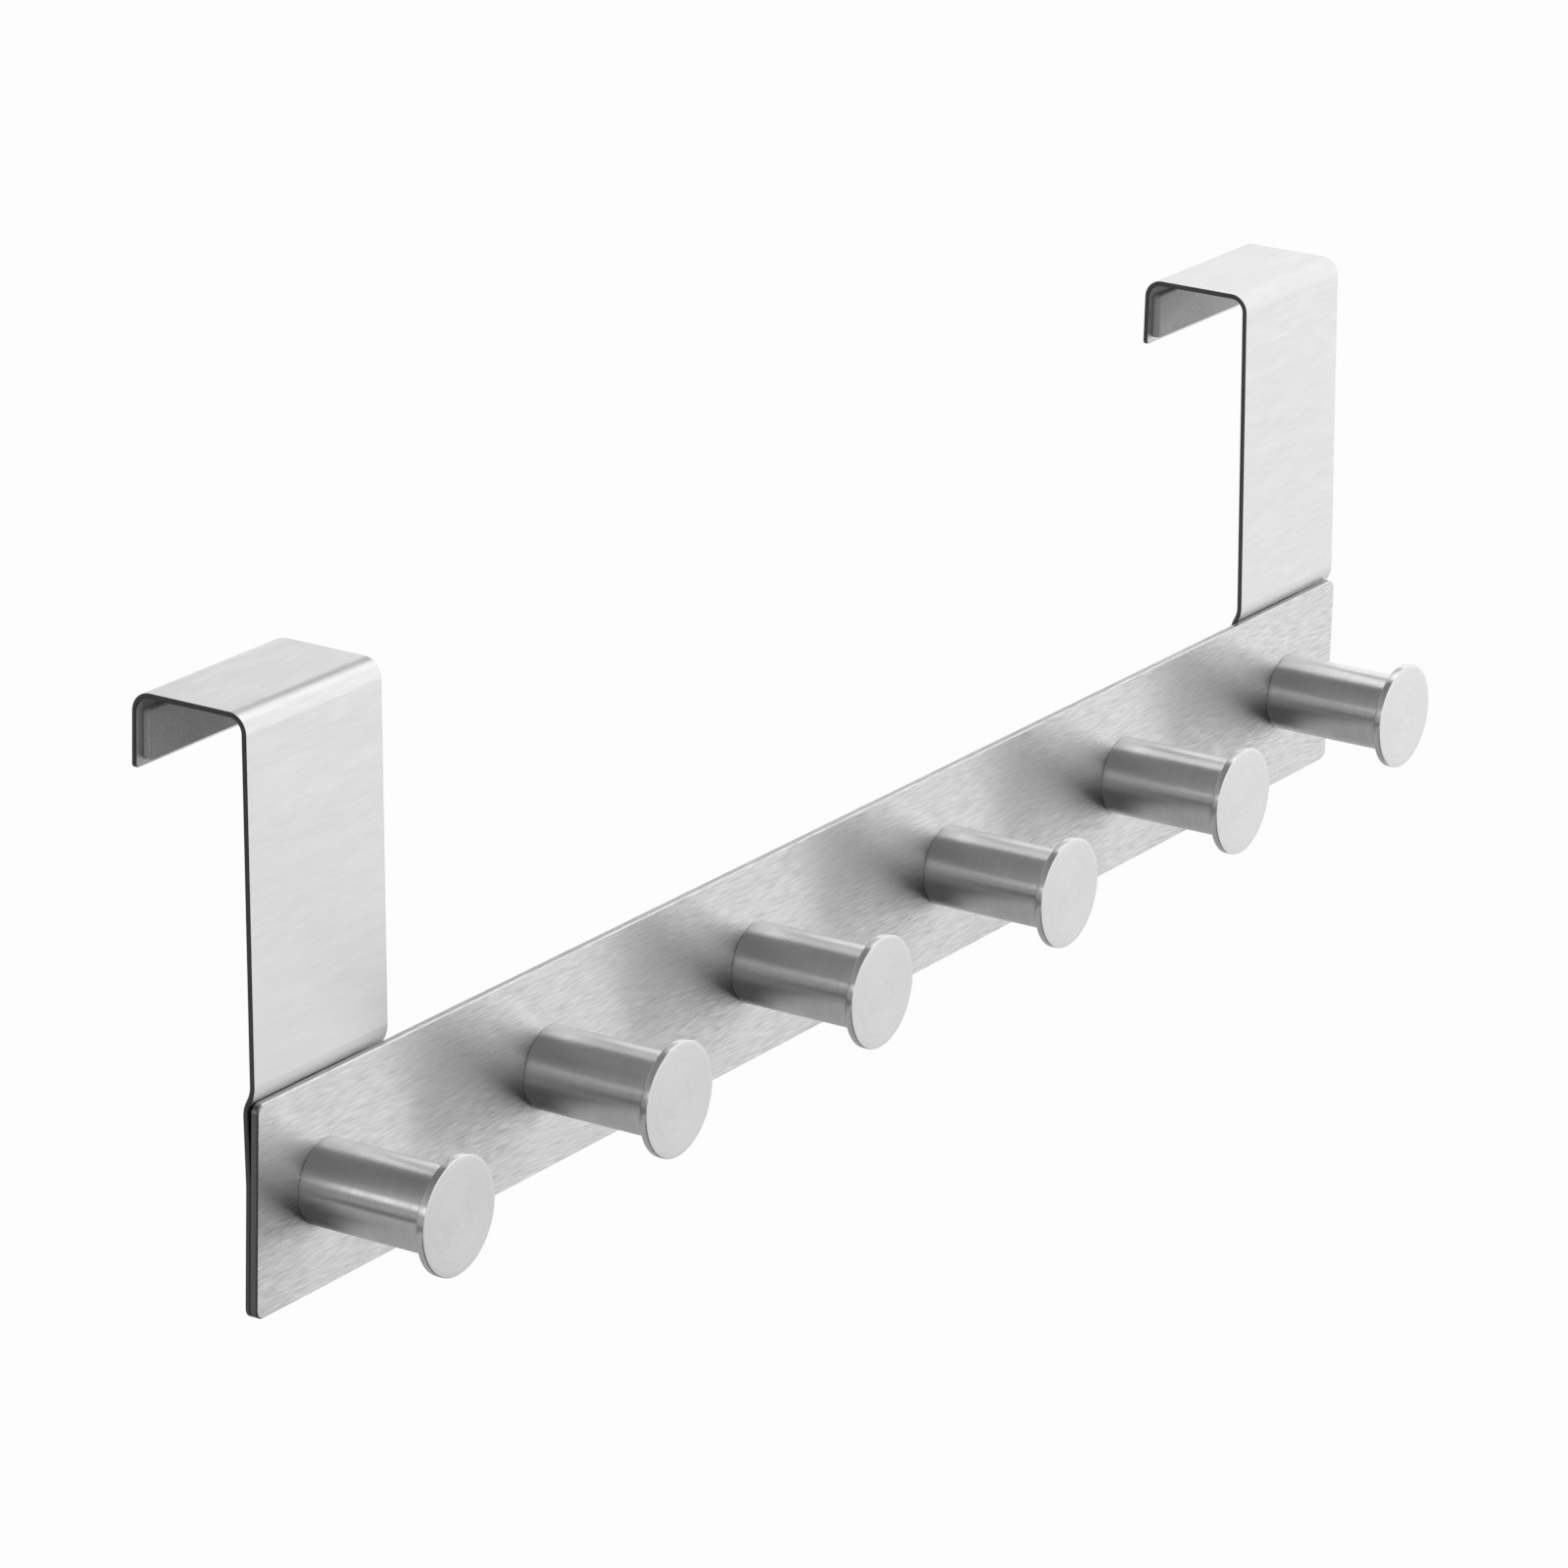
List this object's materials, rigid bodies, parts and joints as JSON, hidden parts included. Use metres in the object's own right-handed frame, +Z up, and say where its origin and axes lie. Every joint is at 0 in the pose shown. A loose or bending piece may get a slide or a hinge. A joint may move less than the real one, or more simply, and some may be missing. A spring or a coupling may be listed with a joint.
{
  "type": "over door hook rack",
  "caption": "Over door hook rack in brushed stainless steel: a flat rail with a row of turned pegs, hung on the top of a door by bent strips with foam pads.",
  "frame": {"origin": "centre of the rail's back face", "axes": "+X along the rail, +Y from the room towards the door, +Z up"},
  "size_m": [0.39, 0.0555, 0.11],
  "materials": {
    "rail": "brushed",
    "hanger": "brushed",
    "peg": "turned, satin",
    "screw": "plain",
    "pad": "fine grey foam"
  },
  "bodies": {
    "root": {"rail": "rail", "left_hanger": "hanger", "right_hanger": "hanger", "left_pad": "pad", "right_pad": "pad", "peg_1": "peg", "peg_2": "peg", "peg_3": "peg", "peg_4": "peg", "peg_5": "peg", "peg_6": "peg", "peg_screws": "screw"}
  },
  "joints": []
}
